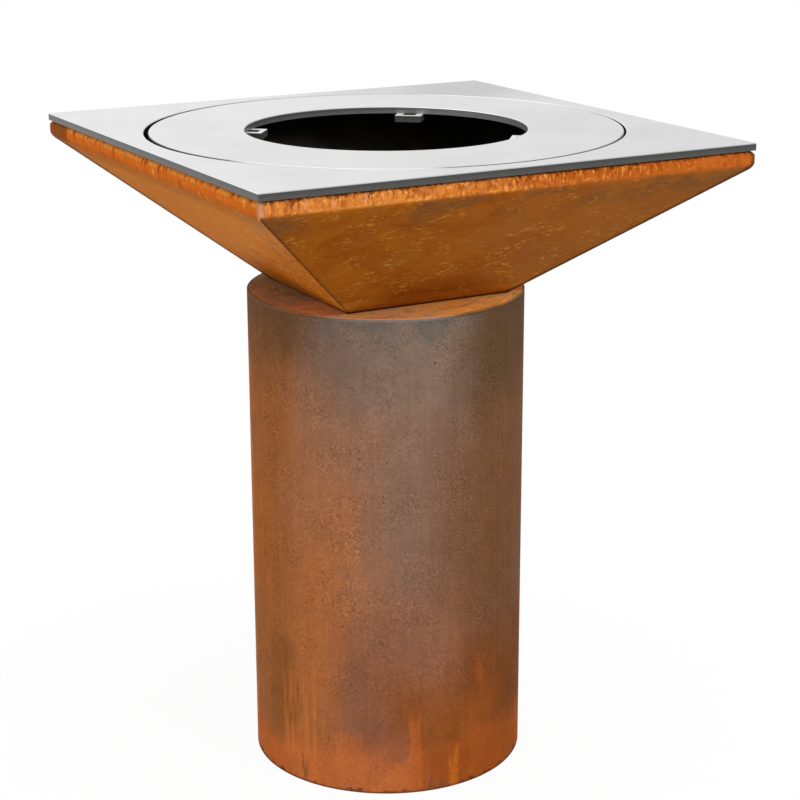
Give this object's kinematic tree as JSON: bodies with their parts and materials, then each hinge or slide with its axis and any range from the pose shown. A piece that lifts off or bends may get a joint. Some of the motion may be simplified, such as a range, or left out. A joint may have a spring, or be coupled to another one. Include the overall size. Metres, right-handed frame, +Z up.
{
  "type": "fire pit grill",
  "caption": "Square fire bowl of folded weathering steel on a round pedestal, topped by a flat steel griddle plate with a loose cooking ring round the fire hole.",
  "frame": {"origin": "on the floor, at the middle of the pedestal's foot", "axes": "+Z up, -Y towards the front, the side the picture shows most of; the plate's edges lie along X and Y"},
  "size_m": [0.75, 0.75, 0.955],
  "materials": {
    "pedestal_weathering_steel": "matte",
    "bowl_weathering_steel": "matte",
    "ground_steel": "satin",
    "fastener_steel": "satin"
  },
  "bodies": {
    "stand": {"pedestal_tube": "pedestal_weathering_steel", "pedestal_top_disc": "pedestal_weathering_steel", "pedestal_base_ring": "pedestal_weathering_steel", "bowl_floor": "bowl_weathering_steel", "bowl_right_panel": "bowl_weathering_steel", "bowl_back_panel": "bowl_weathering_steel", "bowl_left_panel": "bowl_weathering_steel", "bowl_front_panel": "bowl_weathering_steel", "bowl_bolts": "fastener_steel", "bowl_washers": "fastener_steel", "bowl_nuts": "fastener_steel"},
    "plate": {"griddle_plate": "ground_steel", "plate_locator_back_right": "ground_steel", "plate_locator_back_left": "ground_steel", "plate_locator_front_left": "ground_steel", "plate_locator_front_right": "ground_steel"},
    "ring": {"griddle_ring": "ground_steel", "grate_lug_back_right": "ground_steel", "grate_lug_back_left": "ground_steel", "grate_lug_front_left": "ground_steel", "grate_lug_front_right": "ground_steel"}
  },
  "joints": [
    {"name": "plate_lift", "type": "slide", "parent": "stand", "child": "plate", "axis": [0, 0, 1], "range_m": [0, 0.2]},
    {"name": "ring_lift", "type": "slide", "parent": "stand", "child": "ring", "axis": [0, 0, 1], "range_m": [0, 0.2]}
  ]
}
